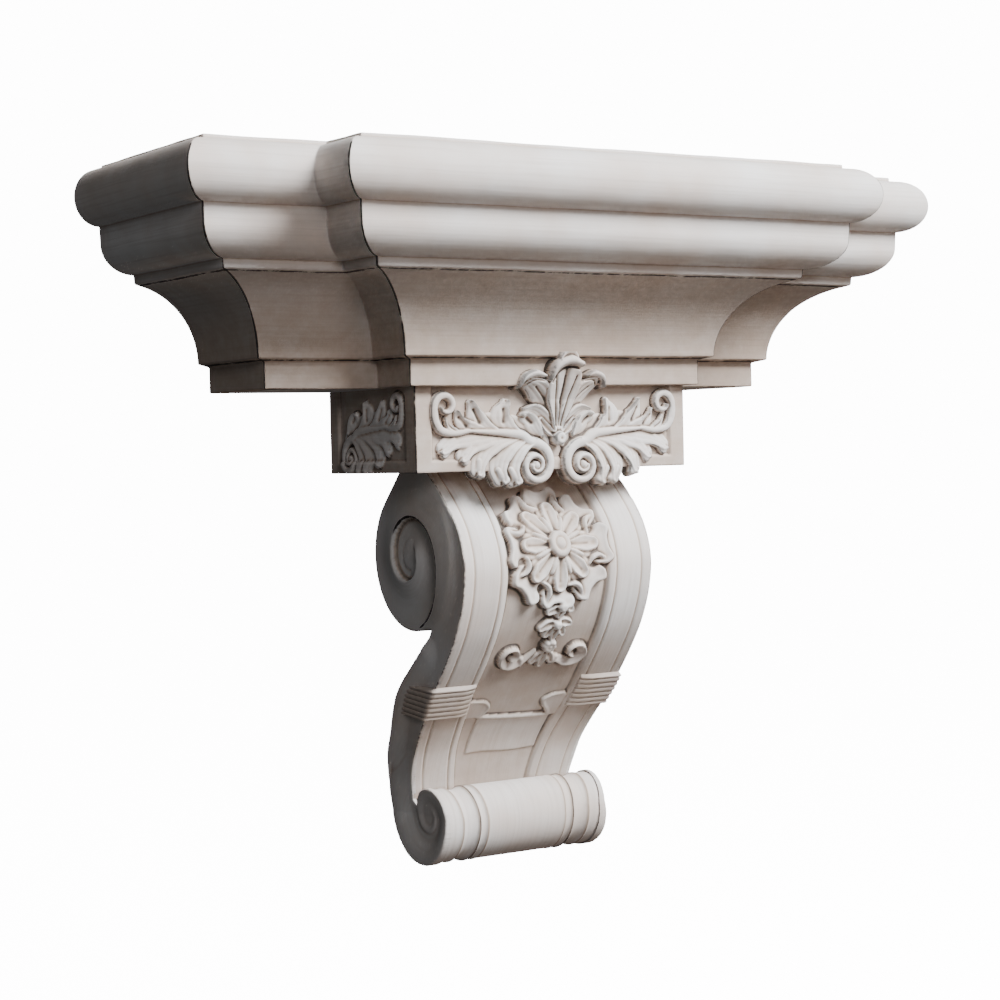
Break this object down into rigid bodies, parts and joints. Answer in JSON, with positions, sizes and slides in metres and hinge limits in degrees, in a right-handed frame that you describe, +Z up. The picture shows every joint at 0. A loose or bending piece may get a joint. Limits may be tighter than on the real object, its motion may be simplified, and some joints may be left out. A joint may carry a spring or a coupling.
{
  "type": "wall bracket shelf",
  "caption": "Classical wall bracket: a moulded breakfront shelf on an acanthus frieze block and an S-scroll console with volute, rosette and straps, cast in one piece.",
  "frame": {"origin": "on the wall face, on the centre line, at the joint between the shelf and the frieze block under it", "axes": "+Z up, +X to the viewer's right when the wall is faced, -Y out from the wall; the wall is the plane y = 0"},
  "size_m": [0.6118, 0.2251, 0.498],
  "materials": {
    "aged_white_paint": "chalky off-white paint, rubbed dark along the arrises and in the hollows"
  },
  "bodies": {
    "root": {"wall_bracket": "aged_white_paint"}
  },
  "joints": []
}
